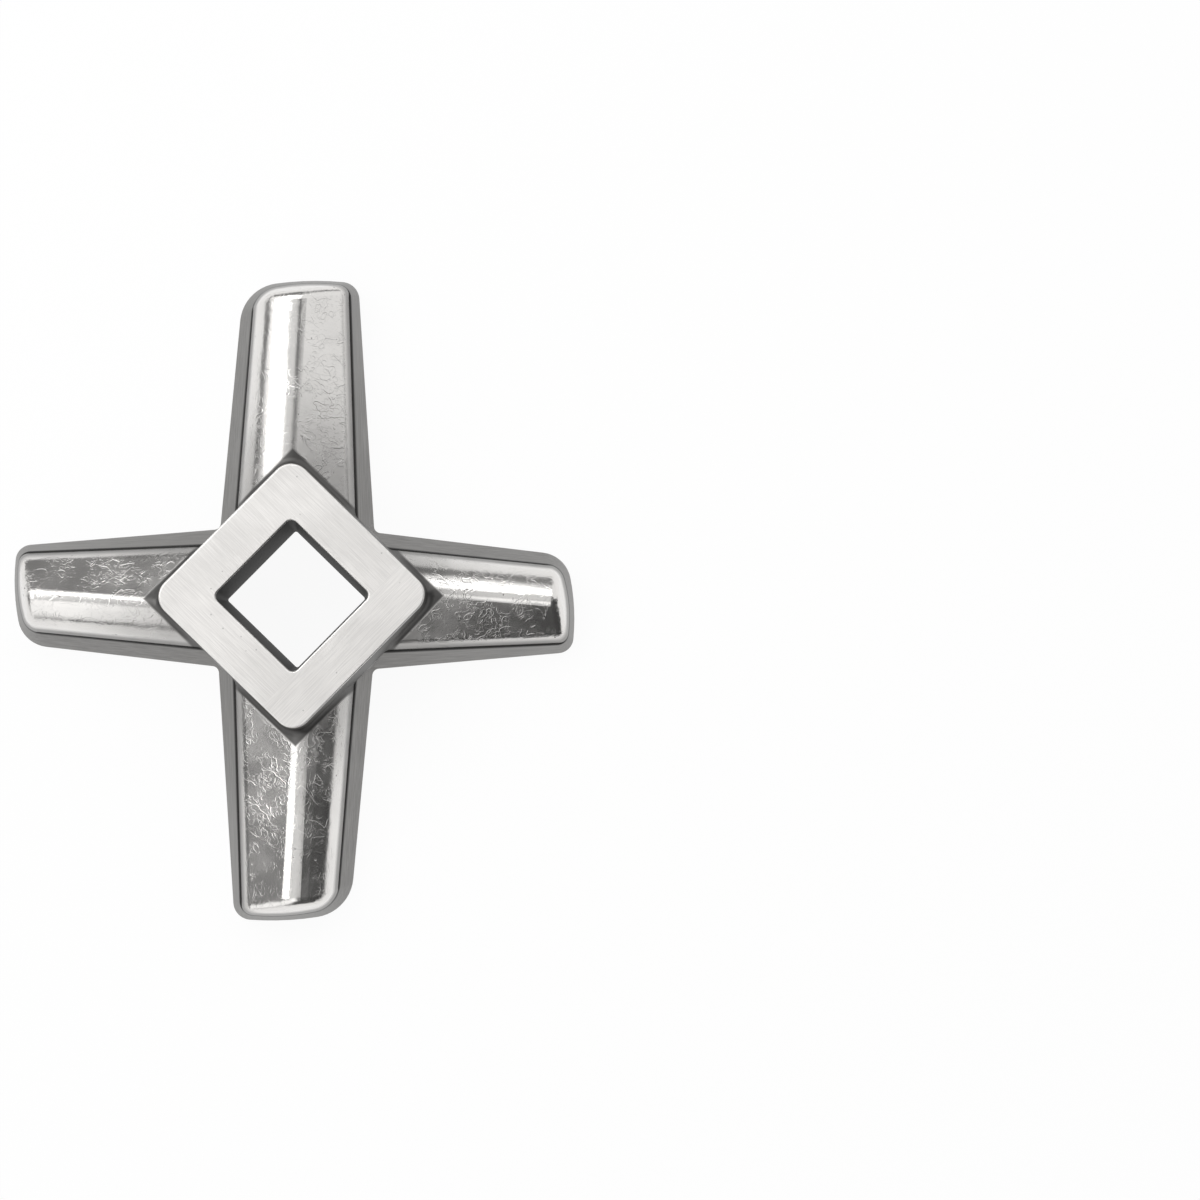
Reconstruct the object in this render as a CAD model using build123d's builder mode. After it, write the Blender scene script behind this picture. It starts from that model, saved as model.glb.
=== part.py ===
from build123d import *
from math import radians, sqrt, tan
import os

# A cross-shaped knife for a meat grinder, cast in one piece of stainless steel.
# The Z axis is the drive shaft's. The flat cutting face lies at Z = 0 and the hub rises along +Z.
# The two long arms lie along Y and the two short ones along X. Each arm has a leading side, which
# cuts, and a trailing side. On the arm that points along +Y, the leading side faces +X.
# All sizes are in millimetres and all angles in degrees.

# Hub: a square block turned 45 degrees, so that its corners point along the arms
hub_height = 19.0
hub_side = 28.4
hub_corner_radius = 2.8
hub_draft = 3.0             # lean of each cast wall towards the top
hub_root_radius = 1.2       # blend between the hub's walls and the arms
hub_edge_radius = 0.25      # broken edge round the hub's face and the mouth of the hole

# Drive hole: square, in line with the hub, and cast with a draft that narrows it downwards
hole_side = 15.9            # across the flats, at the hub's face
hole_draft = 2.0
hole_corner_radius = 1.0

# Long pair of arms: widths from the arm's own centre line, at the hub's corner and at the tip
long_reach = 48.0
long_lead_root = 11.2
long_lead_tip = 9.7
long_trail_root = 10.4
long_trail_tip = 7.6
long_lead_corner = 2.7
long_trail_corner = 6.3

# Short pair of arms
short_reach = 41.75
short_lead_root = 10.0
short_lead_tip = 8.4
short_trail_root = 9.0
short_trail_tip = 6.3
short_lead_corner = 2.4
short_trail_corner = 4.8

# Drafted band round the foot of every arm, up to the step where the polished crown starts
step_height = 4.4
band_lead_root = 2.1        # widths of the band in plan
band_lead_tip = 1.15
band_trail_root = 2.25
band_trail_tip = 1.9
band_end = 1.0
ledge = 0.2                 # the crown starts this far in from the step's edge
crotch_radius = 1.2         # rounding between neighbouring arms

# Rounded end of every arm, in plan
end_bow = 0.45              # how far the end bulges past its leading corner
end_slant = 0.9             # how far the trailing corner lies back of the leading one
end_bow_shift = 1.0         # of the furthest point, from the arm's middle to the leading side

# Crown of every arm: a steep round on the trailing side, a crest, and a long slope that falls
# to the cutting edge
crown_draft = 18.0
crest_height = 11.2         # at the hub's corner
crest_fall = 0.8            # of the crest and the trailing shoulder, from there to the tip
crest_root_shift = -0.6     # of the crest from the arm's centre line, to the leading side
crest_tip_shift = 1.2
trail_flank_height = 8.2    # the trailing shoulder lies midway between this and the crest
lead_shoulder_height = 6.5
trail_round = 5.5
long_crest_round = 3.5
short_crest_round = 2.0
lead_round = 2.6
crown_end_radius = 1.6      # rounding where the crown's top meets its drafted end

# Worked out from the sizes above
root_station = hub_side / sqrt(2)            # the hub's corner, where the root widths are given
crown_lean = tan(radians(crown_draft))
overrun = 2.0                                # of the crown's bar past the tip, before it is cut
above_step = step_height + 0.05              # picks edges that rise from the step's plane
trail_shoulder_height = (crest_height + trail_flank_height) / 2


def at_station(root, tip, station, reach):
    """A size that changes evenly from the hub's corner to the tip, at a station along the arm."""
    return root + (tip - root) * (station - root_station) / (reach - root_station)


def arm_outline(height, reach, lead, trail, end, lead_corner, trail_corner):
    """Plan of one arm at a height, from the hub's axis to its end, pointing along +Y."""
    lead_axis = at_station(*lead, 0, reach)
    lead_end = at_station(*lead, end, reach)
    trail_axis = at_station(*trail, 0, reach)
    trail_end = at_station(*trail, end, reach)
    lead_point = (lead_end, end - end_bow)
    bow_point = ((lead_end - trail_end) / 2 + end_bow_shift, end)
    trail_point = (-trail_end, end - end_bow - end_slant)
    with BuildSketch(Plane.XY.offset(height)) as outline:
        with BuildLine():
            Line((lead_axis, 0), lead_point)
            ThreePointArc(lead_point, bow_point, trail_point)
            Line(trail_point, (-trail_axis, 0))
            Line((-trail_axis, 0), (lead_axis, 0))
        make_face()
        fillet(outline.vertices().sort_by_distance(lead_point)[0], lead_corner)
        fillet(outline.vertices().sort_by_distance(trail_point)[0], trail_corner)
    return outline.sketch


def crown_section(station, lead, trail, crest_shift, fall, crest_round):
    """Cross-section of the crown, square to the arm, with the leading side at +x."""
    trail_height = trail_shoulder_height - fall
    lead_foot = (lead + step_height * crown_lean, 0)
    lead_top = lead - (lead_shoulder_height - step_height) * crown_lean
    lead_shoulder = (lead_top, lead_shoulder_height)
    crest = (crest_shift, crest_height - fall)
    trail_top = trail - (trail_height - step_height) * crown_lean
    trail_shoulder = (-trail_top, trail_height)
    trail_foot = (-trail - step_height * crown_lean, 0)
    with BuildSketch(Plane(origin=(0, station, 0), x_dir=(1, 0, 0), z_dir=(0, -1, 0))) as section:
        with BuildLine():
            Polyline(lead_foot, lead_shoulder, crest, trail_shoulder, trail_foot, close=True)
        make_face()
        fillet(section.vertices().sort_by_distance(lead_shoulder)[0], lead_round)
        fillet(section.vertices().sort_by_distance(crest)[0], crest_round)
        fillet(section.vertices().sort_by_distance(trail_shoulder)[0], trail_round)
    return section.sketch


def make_arm(reach, lead, trail, lead_corner, trail_corner, crest_round):
    """The drafted band and the crown of one arm, pointing along +Y."""
    step_lead = (lead[0] - band_lead_root, lead[1] - band_lead_tip)
    step_trail = (trail[0] - band_trail_root, trail[1] - band_trail_tip)
    step_lead_corner = lead_corner - band_lead_tip / 2
    step_trail_corner = trail_corner - band_trail_tip
    foot = arm_outline(0, reach, lead, trail, reach, lead_corner, trail_corner)
    step = arm_outline(
        step_height,
        reach,
        step_lead,
        step_trail,
        reach - band_end,
        step_lead_corner,
        step_trail_corner,
    )
    with BuildPart() as band:
        add(foot)
        add(step)
        loft(ruled=True)
    with BuildPart() as crown:
        for station in (0, reach + overrun):
            crown_lead = at_station(*step_lead, station, reach) - ledge
            crown_trail = at_station(*step_trail, station, reach) - ledge
            crest_shift = at_station(crest_root_shift, crest_tip_shift, station, reach)
            fall = at_station(0, crest_fall, station, reach)
            add(crown_section(station, crown_lead, crown_trail, crest_shift, fall, crest_round))
        loft(ruled=True)
        add(step)
        extrude(amount=crest_height, taper=crown_draft, mode=Mode.INTERSECT)
        end_edges = crown.edges(Select.NEW).filter_by_position(Axis.Y, root_station, reach)
        fillet(end_edges.filter_by_position(Axis.Z, above_step, hub_height), crown_end_radius)
    return band.part, crown.part


long_band, long_crown = make_arm(
    long_reach,
    (long_lead_root, long_lead_tip),
    (long_trail_root, long_trail_tip),
    long_lead_corner,
    long_trail_corner,
    long_crest_round,
)
short_band, short_crown = make_arm(
    short_reach,
    (short_lead_root, short_lead_tip),
    (short_trail_root, short_trail_tip),
    short_lead_corner,
    short_trail_corner,
    short_crest_round,
)

# The crowns and the hub above the step, with the cast blend where they meet
with BuildPart() as crowned_hub:
    for turn in (0, 180):
        add(long_crown, rotation=(0, 0, turn))
        add(short_crown, rotation=(0, 0, turn + 90))
    with BuildSketch(Plane.XY.offset(hub_height)) as hub_face:
        RectangleRounded(hub_side, hub_side, hub_corner_radius, rotation=45)
    extrude(amount=step_height - hub_height, taper=-hub_draft)
    root_edges = crowned_hub.edges(Select.NEW).filter_by(GeomType.BSPLINE)
    fillet(root_edges.filter_by_position(Axis.Z, above_step, hub_height), hub_root_radius)

# The whole casting: bands with rounded crotches, the hub down to the cutting face, the crowns,
# and the drive hole
with BuildPart() as cross_knife:
    for turn in (0, 180):
        add(long_band, rotation=(0, 0, turn))
        add(short_band, rotation=(0, 0, turn + 90))
    upright_edges = cross_knife.edges().filter_by_position(
        Axis.Z, step_height / 4, step_height * 3 / 4
    )
    fillet(upright_edges.sort_by(lambda edge: edge.center().length)[:4], crotch_radius)
    add(hub_face.sketch)
    extrude(amount=-hub_height, taper=-hub_draft)
    add(crowned_hub.part)
    with BuildSketch(Plane.XY.offset(hub_height)):
        RectangleRounded(hole_side, hole_side, hole_corner_radius, rotation=45)
    extrude(amount=-hub_height, taper=hole_draft, mode=Mode.SUBTRACT)
    fillet(cross_knife.faces().sort_by(Axis.Z)[-1].edges(), hub_edge_radius)

cross_knife.part.label = "cross_knife"
os.makedirs("parts", exist_ok=True)
export_step(cross_knife.part, "parts/cross_knife.step")
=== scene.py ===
# %% [markdown]
# # A cross-shaped knife for a meat grinder
# The knife is one casting of stainless steel, so its shape comes whole from the CAD frame.
# What is left to make here is its finish, which is not the same all over: the hub's face is
# ground, the crowns of the arms are tumbled to a polish, and the foot of the arms and the walls of
# the hole stay duller. The frame is loaded first, and its box is kept, because nothing that is
# added may grow past it.
# The line at the step and the walls of the hole are painted shade, and the darker greys of the
# hub's walls, the band, the foot of the crowns and the steel beside the hub are partly painted
# shade.

import math

import bpy
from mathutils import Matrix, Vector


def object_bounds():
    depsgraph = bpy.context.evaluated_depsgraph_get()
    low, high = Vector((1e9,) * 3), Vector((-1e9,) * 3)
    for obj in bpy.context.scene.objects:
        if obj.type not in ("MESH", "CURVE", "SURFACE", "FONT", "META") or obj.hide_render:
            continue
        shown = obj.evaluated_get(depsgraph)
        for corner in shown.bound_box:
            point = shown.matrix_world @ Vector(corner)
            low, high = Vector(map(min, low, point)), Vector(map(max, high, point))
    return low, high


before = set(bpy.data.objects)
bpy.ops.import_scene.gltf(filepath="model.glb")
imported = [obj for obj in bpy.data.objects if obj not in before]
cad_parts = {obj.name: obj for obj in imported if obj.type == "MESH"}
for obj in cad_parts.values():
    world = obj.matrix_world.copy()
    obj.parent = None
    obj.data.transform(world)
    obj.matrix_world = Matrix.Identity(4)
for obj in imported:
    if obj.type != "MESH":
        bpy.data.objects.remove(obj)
cad_low, cad_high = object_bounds()
print("CAD box, from", cad_low, "to", cad_high)

# %% [markdown]
# ## The sizes that the finish follows
# Each finish stops at an edge of the casting, so it needs the heights and widths of those edges.
# They are given in millimetres, as a maker would read them off the drawing.

# %% Sizes of the casting, in millimetres
MM = 0.001
HUB_HEIGHT = (cad_high[2] - cad_low[2]) / MM
STEP_HEIGHT = 4.4  # of the ledge on which the crowns stand
HUB_HALF = 14.2  # from the axis to a side of the hub, at its face
HUB_LEAN = math.tan(math.radians(3.0))  # draft of the hub's sides
HOLE_HALF = 7.95  # from the axis to a wall of the hole, at its mouth
BROKEN_EDGE = 0.25  # below the hub's face, where its edges are broken
HUB_ROOT = 0.9  # how far the fillet at the hub's foot reaches out
print("hub height", round(HUB_HEIGHT, 2), "mm, step at", STEP_HEIGHT, "mm")

# %% [markdown]
# ## Helpers for the shader nodes
# A material is a small network of nodes. Writing it as sums and products of masks is easier to
# read than a long list of links, so a few helpers are defined first. They set or link a socket,
# add a node, and give the result of a Math node.

# %% Node helpers
def put(tree, socket, value):
    """Set a socket to a plain value, or link it to another socket."""
    if isinstance(value, bpy.types.NodeSocket):
        tree.links.new(value, socket)
    else:
        socket.default_value = value


def add_node(tree, kind, inputs=None, **settings):
    """Add a node, change its settings, and fill the inputs that are named."""
    node = tree.nodes.new(kind)
    for name, value in settings.items():
        setattr(node, name, value)
    for name, value in (inputs or {}).items():
        put(tree, node.inputs[name], value)
    return node


def calc(tree, operation, *values):
    """The result of one Math node."""
    node = tree.nodes.new("ShaderNodeMath")
    node.operation = operation
    for socket, value in zip(node.inputs, values):
        put(tree, socket, value)
    return node.outputs[0]


print("helpers:", put.__name__, add_node.__name__, calc.__name__)

# %% [markdown]
# ## Helpers for masks, colours and groups
# A mask is a number between 0 and 1 that says where a finish lies. A soft ramp makes one from a
# height or a distance, and a blend uses it to go from one colour to another. A node group is a
# network with named inputs and outputs. It could be copied by hand into each place that needs
# it, but one group stays the same everywhere and can be mended once.

# %% Masks, colours and groups
def ramp(tree, value, start, end, low=0.0, high=1.0):
    """A smooth change from low to high while value goes from start to end."""
    inputs = {"Value": value, "From Min": start, "From Max": end, "To Min": low, "To Max": high}
    return add_node(tree, "ShaderNodeMapRange", inputs, interpolation_type="SMOOTHSTEP").outputs[0]


def blend(tree, mask, first, second):
    """A colour that goes from first to second where the mask goes from 0 to 1."""
    node = add_node(tree, "ShaderNodeMix", data_type="RGBA")
    put(tree, node.inputs["Factor"], mask)
    put(tree, node.inputs["A"], first)
    put(tree, node.inputs["B"], second)
    return node.outputs["Result"]


def new_group(name, inputs, outputs):
    """A shader node group with its own inputs and outputs, each a (name, kind) pair."""
    group = bpy.data.node_groups.new(name, "ShaderNodeTree")
    for label, kind in inputs:
        group.interface.new_socket(name=label, in_out="INPUT", socket_type=kind)
    for label, kind in outputs:
        group.interface.new_socket(name=label, in_out="OUTPUT", socket_type=kind)
    given = group.nodes.new("NodeGroupInput").outputs
    result = group.nodes.new("NodeGroupOutput").inputs
    return group, given, result


WARMTH = (1.0, 0.98, 0.955)  # red, green and blue of a bright steel, against a neutral grey


def grey(value):
    """A grey with the faint warmth of stainless steel."""
    return tuple(value * share for share in WARMTH) + (1.0,)


print("the warmth of the steel is", WARMTH)

# %% [markdown]
# ## Where each finish lies
# On the real knife the ground face, the polished crowns and the dull foot were made by different
# tools, each of which reached only its own part of the casting. Each zone could be a separate
# material slot, but the casting is one skin of loose triangles that must not be touched. So the
# zones are masks, worked out from the place of each point in millimetres. A point's place in the
# square hub is easiest to read along the square's own sides, which are turned by 45 degrees.
# The dull foot's darker grey is partly painted shade.

# %% Finish zones
VECTOR = "NodeSocketVector"
FLOAT = "NodeSocketFloat"
SOFT = 0.06  # width of a zone's soft edge, in millimetres
HUB_TURN = 45.0  # degrees between the arms and the sides of the hub
# The foot's darker grey is partly a duller finish and partly painted shade.
FOOT_START, FOOT_END = 1.1, 2.6  # above the step, where the dull foot of a crown fades out
# The dark line at the step is painted shade in the corner where the crowns stand on the ledge.
STEP_SHADE_CORE, STEP_SHADE_REACH = 0.12, 0.45  # half-widths of the dark line at the step

ZONES = ("Hub Face", "Hole Wall", "Hub Wall", "Crown Foot", "Band", "Step Shade Line", "Cutting Face")
zones_group, given, result = new_group(
    "finish_zones", [("Place", VECTOR)], [(name, FLOAT) for name in ZONES]
)
place = add_node(zones_group, "ShaderNodeSeparateXYZ", {"Vector": given["Place"]}).outputs
turned = add_node(
    zones_group,
    "ShaderNodeVectorRotate",
    {"Vector": given["Place"], "Angle": math.radians(HUB_TURN)},
    rotation_type="Z_AXIS",
).outputs[0]
side = add_node(zones_group, "ShaderNodeSeparateXYZ", {"Vector": turned}).outputs
from_axis = calc(
    zones_group,
    "MAXIMUM",
    calc(zones_group, "ABSOLUTE", side["X"]),
    calc(zones_group, "ABSOLUTE", side["Y"]),
)
height = place["Z"]
depth = calc(zones_group, "SUBTRACT", HUB_HEIGHT, height)
hub_reach = calc(zones_group, "MULTIPLY_ADD", depth, HUB_LEAN, HUB_HALF + HUB_ROOT)
below_edge = ramp(zones_group, depth, BROKEN_EDGE, BROKEN_EDGE + SOFT)
in_hole = ramp(zones_group, from_axis, HOLE_HALF + SOFT, HOLE_HALF + 2 * SOFT, 1.0, 0.0)
past_hub = calc(zones_group, "SUBTRACT", from_axis, hub_reach)
in_hub = ramp(zones_group, past_hub, -0.3, 0.1, 1.0, 0.0)
above_face = ramp(zones_group, height, 0.01, SOFT)
above_step = ramp(zones_group, height, STEP_HEIGHT - 0.02, STEP_HEIGHT + 0.02)
print("the hub's wall leans out", round(HUB_HEIGHT * HUB_LEAN, 2), "mm from its face to its foot")

# %% [markdown]
# ## One mask for each finish
# Each zone is where several things hold at once, such as inside the hub and below its broken edge.
# Masks are multiplied for that, and one less a mask gives its opposite. The corner at the step
# gets a zone of its own, a thin dark line of painted shade.

# %% Masks of the finish zones
hole_wall = calc(zones_group, "MULTIPLY", in_hole, below_edge)
hole_wall = calc(zones_group, "MULTIPLY", hole_wall, above_face)
out_of_hole = calc(zones_group, "SUBTRACT", 1.0, in_hole)
hub_wall = calc(zones_group, "MULTIPLY", in_hub, below_edge)
hub_wall = calc(zones_group, "MULTIPLY", hub_wall, out_of_hole)
band = calc(zones_group, "MULTIPLY", calc(zones_group, "SUBTRACT", 1.0, above_step), above_face)
from_step = calc(zones_group, "ABSOLUTE", calc(zones_group, "SUBTRACT", height, STEP_HEIGHT))
step_shade_line = ramp(zones_group, from_step, STEP_SHADE_CORE, STEP_SHADE_REACH, 1.0, 0.0)

foot_low, foot_high = STEP_HEIGHT + FOOT_START, STEP_HEIGHT + FOOT_END
crown_foot = ramp(zones_group, height, foot_low, foot_high, 1.0, 0.0)

put(zones_group, result["Crown Foot"], calc(zones_group, "MULTIPLY", crown_foot, above_step))
put(zones_group, result["Hub Face"], calc(zones_group, "SUBTRACT", 1.0, below_edge))
put(zones_group, result["Hole Wall"], hole_wall)
put(zones_group, result["Hub Wall"], calc(zones_group, "MULTIPLY", hub_wall, above_step))
put(zones_group, result["Band"], calc(zones_group, "MULTIPLY", band, out_of_hole))
put(zones_group, result["Step Shade Line"], calc(zones_group, "MULTIPLY", step_shade_line, out_of_hole))
put(zones_group, result["Cutting Face"], calc(zones_group, "SUBTRACT", 1.0, above_face))
print("finish zones:", ", ".join(ZONES))

# %% [markdown]
# ## Lines left by grinding
# A grinding wheel draws fine parallel scratches. A Noise Texture that is squeezed across the
# scratches and stretched along them gives them, and costs far less than modelled grooves. The
# angle turns them, so one group serves the hub's face, the foot of the arms and the cutting face.

# %% Ground lines
SCRATCH_DETAIL = 4.0  # how many finer scratches lie over the broad ones
SCRATCH_ROUGHNESS = 0.7  # how strong the finer ones are

lines_group, given, result = new_group(
    "ground_lines",
    [("Place", VECTOR), ("Angle", FLOAT), ("Spacing", FLOAT), ("Length", FLOAT)],
    [("Lines", FLOAT)],
)
along = add_node(
    lines_group,
    "ShaderNodeVectorRotate",
    {"Vector": given["Place"], "Angle": given["Angle"]},
    rotation_type="Z_AXIS",
).outputs[0]
squeeze = add_node(
    lines_group,
    "ShaderNodeCombineXYZ",
    {
        "X": calc(lines_group, "DIVIDE", 1.0, given["Length"]),
        "Y": calc(lines_group, "DIVIDE", 1.0, given["Spacing"]),
        "Z": calc(lines_group, "DIVIDE", 1.0, given["Spacing"]),
    },
).outputs[0]
stretched = add_node(
    lines_group, "ShaderNodeVectorMath", {0: along, 1: squeeze}, operation="MULTIPLY"
).outputs[0]
scratches = add_node(
    lines_group,
    "ShaderNodeTexNoise",
    {
        "Vector": stretched,
        "Scale": 1.0,
        "Detail": SCRATCH_DETAIL,
        "Roughness": SCRATCH_ROUGHNESS,
    },
).outputs[0]
put(lines_group, result["Lines"], ramp(lines_group, scratches, 0.3, 0.7))
print("ground_lines takes", ", ".join(socket.name for socket in given if socket.name))

# %% [markdown]
# ## The tumbled skin: patches and contours
# The arms were polished in a drum of abrasive stones. That leaves a bright skin with soft,
# worm-like wrinkles, a gentle unevenness and a few open pits of the casting. All of it could be
# sculpted, but it is far finer than the mesh, so it is made from procedural noise. Two helpers
# come first. One gives soft patches. The other gives thin curved lines, as a map's contour lines
# follow one height of a landscape.

# %% Patches and contours
SKIN_OUTPUTS = ("Wrinkles", "Swell", "Grain", "Pits", "Patches", "Dull And Shaded")
skin_group, given, result = new_group(
    "tumbled_skin", [("Place", VECTOR)], [(name, FLOAT) for name in SKIN_OUTPUTS]
)
place = given["Place"]


def cloud(per_mm, detail):
    """Soft patches between 0 and 1, with so many to a millimetre."""
    inputs = {"Vector": place, "Scale": per_mm, "Detail": detail}
    return add_node(skin_group, "ShaderNodeTexNoise", inputs).outputs[0]


def contour(per_mm, bend, width):
    """Thin curved lines where a smooth noise passes through its middle value."""
    inputs = {"Vector": place, "Scale": per_mm, "Detail": 1.0, "Distortion": bend}
    noise = add_node(skin_group, "ShaderNodeTexNoise", inputs).outputs[0]
    off_middle = calc(skin_group, "ABSOLUTE", calc(skin_group, "SUBTRACT", noise, 0.5))
    return ramp(skin_group, off_middle, 0.0, width, 1.0, 0.0)


patches = cloud(0.14, 2.0)
from_middle = add_node(
    skin_group, "ShaderNodeVectorMath", {0: place}, operation="LENGTH"
).outputs["Value"]
put(skin_group, result["Patches"], patches)
print("the skin group gives", ", ".join(SKIN_OUTPUTS))

# %% [markdown]
# ## Wrinkles
# The wrinkles are deepest beside the hub, where the stones hardly reach, and fade towards the
# tips. Coarse and fine lines are laid over each other, the fine ones at half strength. Whole
# stretches without any are cut out with a cloud, because an even net of lines looks printed.

# %% Wrinkles
FINE_SHARE = 0.5
HUB_NEAR, HUB_FAR = 18.0, 40.0  # millimetres from the axis, between which wrinkles fade
NEAR_AMOUNT, FAR_AMOUNT = 1.6, 0.75
CALM_AMOUNT = 0.55  # of the wrinkles in the calmest patches

coarse_lines = contour(0.45, 0.9, 0.028)
fine_lines = calc(skin_group, "MULTIPLY", contour(0.85, 1.2, 0.030), FINE_SHARE)
lines = calc(skin_group, "MAXIMUM", coarse_lines, fine_lines)
gaps = ramp(skin_group, cloud(0.33, 1.0), 0.36, 0.50)
near_hub = ramp(skin_group, from_middle, HUB_NEAR, HUB_FAR, NEAR_AMOUNT, FAR_AMOUNT)
lively = ramp(skin_group, patches, 0.36, 0.6, CALM_AMOUNT, 1.0)
amount = calc(skin_group, "MULTIPLY", lively, near_hub)
broken_lines = calc(skin_group, "MULTIPLY", lines, gaps)
put(skin_group, result["Wrinkles"], calc(skin_group, "MULTIPLY", broken_lines, amount))
print("wrinkles: coarse and fine lines, the fine ones times", FINE_SHARE)

# %% [markdown]
# ## Swell, grain and pits
# A tumbled face is never flat. A slow swell bends the long reflections a little, and a fine grain
# takes the glassy look from them. The pits are the middles of a few Voronoi cells: each cell has
# a random colour, and only those above a threshold get a pit.

# %% Swell, grain and pits
RIPPLE_SHARE = 0.3  # of a quicker ripple in the slow swell
PITS_PER_MM = 0.62
PIT_RIM, PIT_EDGE = 0.04, 0.10

ripple = calc(skin_group, "MULTIPLY", cloud(1.3, 1.0), RIPPLE_SHARE)
put(skin_group, result["Swell"], calc(skin_group, "ADD", cloud(0.35, 0.0), ripple))
put(skin_group, result["Grain"], cloud(3.2, 3.0))
cells = add_node(
    skin_group,
    "ShaderNodeTexVoronoi",
    {"Vector": place, "Scale": PITS_PER_MM, "Randomness": 1.0},
).outputs
cell_colour = add_node(skin_group, "ShaderNodeSeparateColor", {"Color": cells["Color"]}).outputs
rare = ramp(skin_group, cell_colour[0], 0.45, 0.5)
dots = ramp(skin_group, cells["Distance"], PIT_RIM, PIT_EDGE, 1.0, 0.0)
put(skin_group, result["Pits"], calc(skin_group, "MULTIPLY", dots, rare))
print("pits: Voronoi cells,", PITS_PER_MM, "to a millimetre before the choice")

# %% [markdown]
# ## Dull and shaded metal beside the hub
# Beside the hub the steel is rougher, where the polish is weak, and darker, which is painted shade
# from the hub; it comes up to full brightness along the arm. The border is made uneven with the
# patches.

# %% Dull and shaded metal beside the hub
DULL_NEAR, DULL_FAR = 17.0, 35.0  # millimetres from the axis
DULL_WANDER = 12.0  # by how much the border wanders with the patches
distance_less_half = calc(skin_group, "SUBTRACT", from_middle, DULL_WANDER / 2)
wandering = calc(skin_group, "MULTIPLY_ADD", patches, DULL_WANDER, distance_less_half)
put(skin_group, result["Dull And Shaded"], ramp(skin_group, wandering, DULL_NEAR, DULL_FAR, 1.0, 0.0))
print("dull from the hub to about", DULL_FAR, "mm from the axis")

# %% [markdown]
# ## The steel and its groups
# All zones are the same metal, so there is one material. Metallic is a plain 1. What changes over
# the surface is how light the metal looks, how rough it is, and the small relief that bends the
# reflections. Object coordinates are turned into millimetres first, because all sizes are.

# %% Steel material and its groups
steel = bpy.data.materials.new("cast_stainless_finish")
steel.use_nodes = True
tree = steel.node_tree
shader = tree.nodes["Principled BSDF"]
shader.inputs["Metallic"].default_value = 1.0

coordinates = add_node(tree, "ShaderNodeTexCoord").outputs["Object"]
to_mm = (1.0 / MM,) * 3
place = add_node(tree, "ShaderNodeMapping", {"Vector": coordinates, "Scale": to_mm}).outputs[0]


def use_group(group):
    """Place a group in the steel, give it the place in millimetres, and return its outputs."""
    node = add_node(tree, "ShaderNodeGroup", node_tree=group)
    put(tree, node.inputs["Place"], place)
    return node.outputs


zone = use_group(zones_group)
skin = use_group(skin_group)
print("the steel reads", len(zone), "zones and", len(skin), "kinds of skin")

# %% [markdown]
# ## Which way the grinding runs
# Each ground face was drawn over the wheel in one direction, which shows as fine parallel lines.
# On the hub's face two directions meet at the square's lower right side. On the foot the lines
# run along each arm, so they turn by a right angle between the long and the short pair.

# %% Directions of the grinding
def ground_lines(angle, spacing, length):
    """The scratches of one grinding pass, at an angle in degrees from the X axis."""
    node = add_node(tree, "ShaderNodeGroup", node_tree=lines_group)
    put(tree, node.inputs["Place"], place)
    put(tree, node.inputs["Angle"], math.radians(-angle))
    put(tree, node.inputs["Spacing"], spacing)
    put(tree, node.inputs["Length"], length)
    return node.outputs["Lines"]


def either(mask, first, second):
    """A number that goes from first to second where the mask goes from 0 to 1."""
    node = add_node(tree, "ShaderNodeMix", {0: mask, 2: first, 3: second}, data_type="FLOAT")
    return node.outputs[0]


LOWER_RIGHT = (math.sqrt(0.5), -math.sqrt(0.5), 0.0)
to_lower_right = add_node(
    tree, "ShaderNodeVectorMath", {0: place, 1: LOWER_RIGHT}, operation="DOT_PRODUCT"
).outputs["Value"]
on_lower_right = ramp(tree, to_lower_right, HOLE_HALF - 0.5, HOLE_HALF + 0.5)
face_lines = either(on_lower_right, ground_lines(-45.0, 0.13, 5.0), ground_lines(45.0, 0.13, 5.0))

along = add_node(tree, "ShaderNodeSeparateXYZ", {"Vector": place}).outputs
from_x = calc(tree, "ABSOLUTE", along["X"])
from_y = calc(tree, "ABSOLUTE", along["Y"])
on_short_arm = calc(tree, "GREATER_THAN", from_x, from_y)
band_lines = either(on_short_arm, ground_lines(90.0, 0.3, 14.0), ground_lines(0.0, 0.3, 14.0))
cutting_lines = ground_lines(20.0, 0.14, 12.0)
print("grinding lines on the hub's face, the foot and the cutting face")

# %% [markdown]
# ## How light each zone is
# Polished steel throws back most of the light, ground steel a little less evenly, and the walls
# that keep their casting skin much less. Their greys are set darker still as painted shade: the
# walls of the hole and the line at the step are painted shade, and the greys of the hub's walls,
# the band, the foot and the steel beside the hub are partly painted shade. Each zone's grey is
# blended over the crown's. The grinding lines only shift a grey by a few hundredths, since most of
# their look comes from relief, and the pits and nicks are darker.

# %% Base colour
CROWN_GREY = 0.80
DULL_AND_HUB_SHADE_GREY = 0.38
FOOT_DULL_AND_SHADE_GREY = 0.30
HUB_WALL_SKIN_AND_SHADE_GREY = 0.13
BAND_SKIN_AND_SHADE_GREY = 0.25
STEP_SHADE_GREY = 0.05
HOLE_SHADE_GREY = 0.06
FACE_GREY = 0.84
CUTTING_GREY = 0.70
DULL_AND_HUB_SHADE_SHARE = 0.75  # how far the crown goes to its dull grey beside the hub

colour = blend(tree, skin["Pits"], grey(CROWN_GREY), grey(CROWN_GREY * 0.35))
# Beside the hub the crown is painted darker as painted shade from the hub, with a rougher polish.
hub_dull_shade = calc(tree, "MULTIPLY", skin["Dull And Shaded"], DULL_AND_HUB_SHADE_SHARE)
colour = blend(tree, hub_dull_shade, colour, grey(DULL_AND_HUB_SHADE_GREY))
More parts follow.
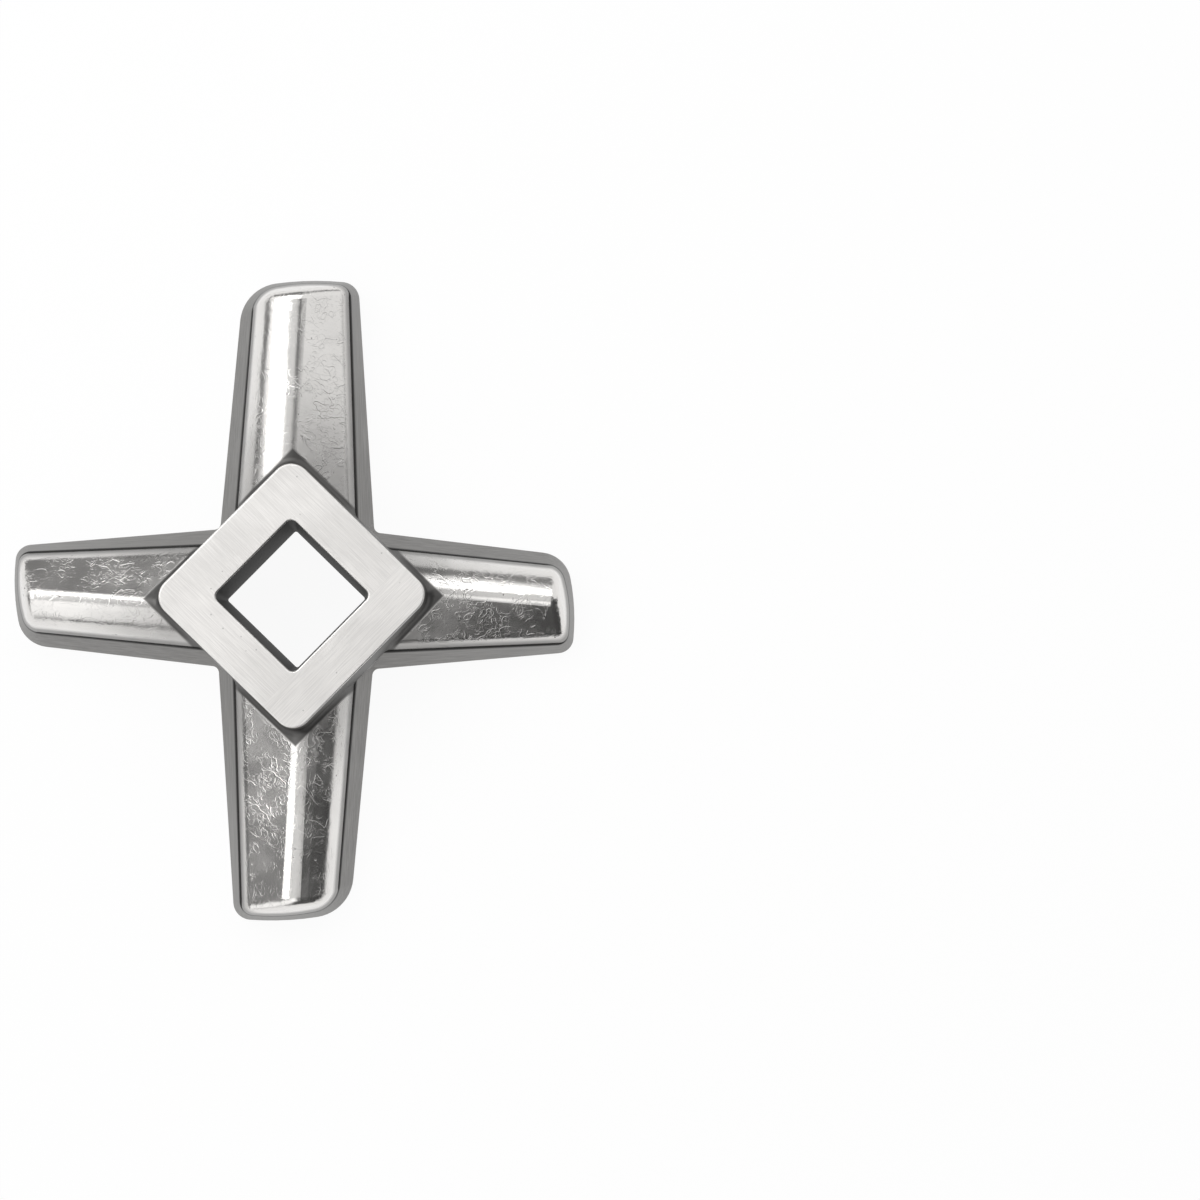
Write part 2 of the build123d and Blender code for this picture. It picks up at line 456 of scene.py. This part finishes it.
# The foot of the crowns is a duller finish, and its dark grey is partly painted shade.
colour = blend(tree, zone["Crown Foot"], colour, grey(FOOT_DULL_AND_SHADE_GREY))
# The hub's walls are duller casting skin, painted much darker as painted shade.
colour = blend(tree, zone["Hub Wall"], colour, grey(HUB_WALL_SKIN_AND_SHADE_GREY))
# The band is ground casting skin, painted darker as painted shade.
band_lines_and_shade_colour = blend(tree, band_lines, grey(BAND_SKIN_AND_SHADE_GREY * 0.85), grey(BAND_SKIN_AND_SHADE_GREY * 1.15))
colour = blend(tree, zone["Band"], colour, band_lines_and_shade_colour)
# The step line is painted shade in the corner at the step.
colour = blend(tree, zone["Step Shade Line"], colour, grey(STEP_SHADE_GREY))
# The walls of the hole are painted near black: painted shade in the hole.
colour = blend(tree, zone["Hole Wall"], colour, grey(HOLE_SHADE_GREY))

face_colour = blend(tree, face_lines, grey(FACE_GREY * 0.88), grey(FACE_GREY * 1.08))
mottling = ramp(tree, skin["Patches"], 0.35, 0.65, 0.25, 0.0)
face_colour = blend(tree, mottling, face_colour, grey(FACE_GREY * 0.7))
nicks = calc(tree, "MULTIPLY", skin["Pits"], 0.6)
face_colour = blend(tree, nicks, face_colour, grey(FACE_GREY * 0.4))
colour = blend(tree, zone["Hub Face"], colour, face_colour)

cutting_colour = blend(tree, cutting_lines, grey(CUTTING_GREY * 0.93), grey(CUTTING_GREY * 1.07))
colour = blend(tree, zone["Cutting Face"], colour, cutting_colour)
put(tree, shader.inputs["Base Color"], colour)
print("greys from", STEP_SHADE_GREY, "in the step line to", FACE_GREY, "on the hub's face")

# %% [markdown]
# ## How rough each zone is
# Roughness decides how sharp a reflection is. On the crown it is low and drifts a little with the
# patches, and rises beside the hub. The walls of the hole are nearly matt, because they are seen
# at a low slant, where a smooth wall would mirror the surroundings however dark its colour is.

# %% Roughness
def layered(base, layers):
    """A number that takes each layer's value in turn where its mask is 1."""
    value = base
    for mask, over in layers:
        value = either(mask, value, over)
    return value


SMOOTHEST, ROUGHEST = 0.17, 0.25  # of the polished crown
DULL_ROUGHER = 0.07
polish = ramp(tree, skin["Patches"], 0.3, 0.7, SMOOTHEST, ROUGHEST)
rough = layered(
    calc(tree, "MULTIPLY_ADD", skin["Dull And Shaded"], DULL_ROUGHER, polish),
    [
        (zone["Crown Foot"], 0.32),
        (zone["Hub Wall"], 0.5),
        (zone["Band"], 0.42),
        (zone["Hole Wall"], 0.72),
        (zone["Hub Face"], 0.42),
        (zone["Cutting Face"], 0.3),
    ],
)
put(tree, shader.inputs["Roughness"], rough)
print("roughness of the crown", SMOOTHEST, "to", ROUGHEST)

# %% [markdown]
# ## The relief
# All relief is one height in millimetres that feeds a single Bump node, whose Distance is one
# millimetre in metres. So each depth below is a real one: a wrinkle stands some 15 micrometres
# proud and a pit is 50 deep. Bump bends the reflections and leaves the outline alone.

# %% Relief
WRINKLE_DEPTH = 0.015
SWELL_DEPTH = 0.022
GRAIN_DEPTH = 0.0035
PIT_DEPTH = 0.05
LINE_DEPTH = 0.003

skin_relief = calc(tree, "MULTIPLY", skin["Wrinkles"], WRINKLE_DEPTH)
skin_relief = calc(tree, "MULTIPLY_ADD", skin["Swell"], SWELL_DEPTH, skin_relief)
skin_relief = calc(tree, "MULTIPLY_ADD", skin["Grain"], GRAIN_DEPTH, skin_relief)
pit_relief = calc(tree, "MULTIPLY", skin["Pits"], PIT_DEPTH)
relief = layered(
    calc(tree, "SUBTRACT", skin_relief, pit_relief),
    [
        (zone["Hub Wall"], 0.0),
        (zone["Band"], calc(tree, "MULTIPLY", band_lines, LINE_DEPTH)),
        (zone["Hole Wall"], 0.0),
        (zone["Hub Face"], calc(tree, "MULTIPLY", face_lines, LINE_DEPTH)),
        (zone["Cutting Face"], calc(tree, "MULTIPLY", cutting_lines, LINE_DEPTH)),
    ],
)
bump = add_node(tree, "ShaderNodeBump", {"Height": relief, "Strength": 1.0, "Distance": MM})
put(tree, shader.inputs["Normal"], bump.outputs[0])
print("relief from", LINE_DEPTH, "to", PIT_DEPTH, "mm")

# %% [markdown]
# ## Onto the knife
# The CAD piece has one material slot. Filling that slot changes the finish and nothing else: its
# mesh and its place stay as they came from the frame.

# %% Steel onto the knife
knife = bpy.data.objects["cross_knife"]
knife.material_slots[0].material = steel
print("steel on", knife.name, "with", len(tree.nodes), "nodes")

# %% [markdown]
# ## The floor
# The floor is white paper. It is lit like any paper, and shines a little by itself where the
# camera or a reflection sees it, so that it comes out near white and still shows a faint shadow.
# It lies a hair below the cutting face. In the same plane the two would show through each other
# in patches. From below the paper is clear, so that the cutting face can be looked at.

# %% Floor
PAPER_WHITE = 0.9
PAPER_ROUGHNESS = 0.9
PAPER_GLOW = 0.93  # share of its own light where it is seen directly
FLOOR_SIZE = 6.0
FLOOR_DROP = 0.05 * MM


def seen_directly(tree):
    """1 for rays from the camera, from a mirror or through glass, 0 for scattered light."""
    ray = add_node(tree, "ShaderNodeLightPath").outputs
    mirror = calc(tree, "MAXIMUM", ray["Is Glossy Ray"], ray["Is Transmission Ray"])
    return calc(tree, "MAXIMUM", ray["Is Camera Ray"], mirror)


bpy.ops.object.select_all(action="DESELECT")
bpy.ops.mesh.primitive_plane_add(size=FLOOR_SIZE, location=(0.0, 0.0, -FLOOR_DROP))
floor = bpy.context.object
floor.name = "floor"
print("floor", FLOOR_SIZE, "m wide,", round(FLOOR_DROP / MM, 3), "mm under the cutting face")

# %% [markdown]
# ## The white paper
# Three shaders are mixed: the lit paper, its own light, and a clear one for its underside. The
# Backfacing output of the Geometry node is 1 where a face is seen from behind.

# %% White paper
paper = bpy.data.materials.new("white_paper")
paper.use_nodes = True
paper_tree = paper.node_tree
paper_shader = paper_tree.nodes["Principled BSDF"]
paper_shader.inputs["Base Color"].default_value = (PAPER_WHITE,) * 3 + (1.0,)
paper_shader.inputs["Roughness"].default_value = PAPER_ROUGHNESS
WHITE = (1.0, 1.0, 1.0, 1.0)
glow = add_node(paper_tree, "ShaderNodeEmission", {"Color": WHITE, "Strength": 1.0}).outputs[0]
glow_share = calc(paper_tree, "MULTIPLY", seen_directly(paper_tree), PAPER_GLOW)
from_above = add_node(
    paper_tree, "ShaderNodeMixShader", {0: glow_share, 1: paper_shader.outputs[0], 2: glow}
).outputs[0]
clear = add_node(paper_tree, "ShaderNodeBsdfTransparent").outputs[0]
from_below = add_node(paper_tree, "ShaderNodeNewGeometry").outputs["Backfacing"]
one_sided = add_node(
    paper_tree, "ShaderNodeMixShader", {0: from_below, 1: from_above, 2: clear}
).outputs[0]
put(paper_tree, paper_tree.nodes["Material Output"].inputs["Surface"], one_sided)
floor.data.materials.append(paper)
print("paper on", floor.name, "glows with a share of", PAPER_GLOW)

# %% [markdown]
# ## The light tent
# Polished metal shows what stands around it more than its own colour. Small polished parts are
# therefore lit inside a tent of grey cloth with bright and dark panels, which draw the long soft
# bands on the arms. The tent is a sphere that the camera doesn't see and that casts no shadow.
# It stands between the steel and the white room, so the steel mirrors the tent and the floor.
# Real panels could be planes, but round spots on one sphere are easier to aim: each has a
# direction, a size and a soft edge.

# %% Panels of the tent
TENT_RADIUS = 1.2
TENT_GREY = 0.20
PANELS = [
    # azimuth from +X and zenith of the middle, half-angle, softness (degrees), brightness
    (0.0, 0.0, 22.0, 6.0, 0.75),  # overhead
    (146.0, 52.0, 24.0, 5.0, 1.2),  # behind, to the left
    (90.0, 44.0, 17.0, 8.0, 0.65),  # behind
    (270.0, 76.0, 50.0, 6.0, 0.06),  # wide dark cloth in front
    (261.0, 38.0, 17.0, 6.0, 1.4),  # in front, high
    (236.0, 62.0, 25.0, 5.0, 1.15),  # in front, to the left
    (338.0, 58.0, 32.0, 6.0, 0.06),  # dark cloth to the right
    (0.0, 42.0, 15.0, 6.0, 0.08),  # small dark cloth to the right, high
    (30.0, 66.0, 27.0, 7.0, 0.92),  # behind, to the right
]

bpy.ops.object.select_all(action="DESELECT")
bpy.ops.mesh.primitive_uv_sphere_add(segments=64, ring_count=32, radius=TENT_RADIUS)
tent = bpy.context.object
tent.name = "light_tent"
tent.visible_camera = False
tent.visible_shadow = False
print("tent of", TENT_RADIUS, "m with", len(PANELS), "panels")

# %% [markdown]
# ## The cloth of the tent
# The cloth is pure emission. The cosine of the angle between a point's direction and a panel's
# middle is their dot product, so a ramp on it paints a round spot with a soft edge. Later panels
# lie over earlier ones. Blender would treat each face of a glowing mesh as a lamp and aim rays
# at it. That is switched off, since mirrored rays find so large a tent by themselves, and the
# render is quicker.

# %% Cloth of the tent
cloth = bpy.data.materials.new("tent_cloth")
cloth.use_nodes = True
cloth_tree = cloth.node_tree
cloth_tree.nodes.remove(cloth_tree.nodes["Principled BSDF"])
spot = add_node(cloth_tree, "ShaderNodeTexCoord").outputs["Object"]
aim = add_node(cloth_tree, "ShaderNodeVectorMath", {0: spot}, operation="NORMALIZE").outputs[0]
brightness = TENT_GREY
for azimuth, zenith, half_angle, softness, level in PANELS:
    turn, lean = math.radians(azimuth), math.radians(zenith)
    middle = (math.sin(lean) * math.cos(turn), math.sin(lean) * math.sin(turn), math.cos(lean))
    towards = add_node(
        cloth_tree, "ShaderNodeVectorMath", {0: aim, 1: middle}, operation="DOT_PRODUCT"
    ).outputs["Value"]
    outer = math.cos(math.radians(half_angle + softness))
    inner = math.cos(math.radians(half_angle - softness))
    inside = ramp(cloth_tree, towards, outer, inner)
    brightness = add_node(
        cloth_tree, "ShaderNodeMix", {0: inside, 2: brightness, 3: level}, data_type="FLOAT"
    ).outputs[0]
cloth_glow = add_node(cloth_tree, "ShaderNodeEmission", {"Color": WHITE})
put(cloth_tree, cloth_glow.inputs["Strength"], brightness)
put(cloth_tree, cloth_tree.nodes["Material Output"].inputs["Surface"], cloth_glow.outputs[0])
cloth.cycles.emission_sampling = "NONE"
tent.data.materials.append(cloth)
levels = [panel[4] for panel in PANELS]
print("cloth from", min(levels), "to", max(levels), "around a grey of", TENT_GREY)

# %% [markdown]
# ## The lamps
# Two large softboxes hang to the left and behind. They give the broad white bands that run along
# the arms, and their edges make those bands crisp. An area lamp shines along its own -Z, so it
# is leaned by its zenith and turned by its azimuth to look at the knife.

# %% Softboxes
SOFTBOXES = [
    # name, azimuth and zenith (degrees), distance, width and height (metres), radiance
    ("left_softbox", 168.0, 36.5, 0.8, 0.39, 0.7, 2.2),
    ("back_softbox", 90.0, 38.0, 0.8, 0.40, 0.8, 2.0),
]

for name, azimuth, zenith, distance, width, height, radiance in SOFTBOXES:
    turn, lean = math.radians(azimuth), math.radians(zenith)
    data = bpy.data.lights.new(name, "AREA")
    data.shape = "RECTANGLE"
    data.size = width
    data.size_y = height
    data.energy = radiance * math.pi * width * height
    lamp = bpy.data.objects.new(name, data)
    lamp.location = (
        distance * math.sin(lean) * math.cos(turn),
        distance * math.sin(lean) * math.sin(turn),
        distance * math.cos(lean),
    )
    lamp.rotation_euler = (0.0, lean, turn)
    bpy.context.scene.collection.objects.link(lamp)
    print(name, "at", tuple(round(part, 3) for part in lamp.location), "m")

# %% [markdown]
# ## The white surroundings
# The world is white for the camera and for mirrored rays, and half as bright for scattered light,
# so that the background is white without more light falling on the knife.

# %% World
SCATTERED_LEVEL = 0.5
world = bpy.data.worlds.new("white_room")
bpy.context.scene.world = world
world.use_nodes = True
world_tree = world.node_tree
room = world_tree.nodes["Background"]
room.inputs["Color"].default_value = WHITE
room_level = calc(
    world_tree,
    "MULTIPLY_ADD",
    seen_directly(world_tree),
    1.0 - SCATTERED_LEVEL,
    SCATTERED_LEVEL,
)
put(world_tree, room.inputs["Strength"], room_level)
print("world: 1 where it is seen, and", SCATTERED_LEVEL, "for scattered light")

# %% [markdown]
# ## The camera
# The knife is looked at from above, a little off its middle, with a medium-long lens, so that the
# near face of the hub looks only slightly larger than the cutting face. The small turns, in
# radians, put it at the left of the frame and leave room beside it.

# %% Camera
LENS = 79.74  # millimetres
SENSOR = 36.0
NEAREST = 0.01  # metres, the closest thing that the camera draws
CAMERA_PLACE = (0.01434, -0.01172, 0.4013)
CAMERA_TURN = (0.02869, -0.07759, -0.01223)

camera_data = bpy.data.cameras.new("camera")
camera_data.sensor_width = SENSOR
camera_data.lens = LENS
camera_data.clip_start = NEAREST
camera = bpy.data.objects.new("camera", camera_data)
camera.location = CAMERA_PLACE
camera.rotation_euler = CAMERA_TURN
bpy.context.scene.collection.objects.link(camera)
bpy.context.scene.camera = camera
bpy.context.scene.view_settings.view_transform = "Standard"
print("camera", round(CAMERA_PLACE[2] - cad_high[2], 3), "m above the hub's face")
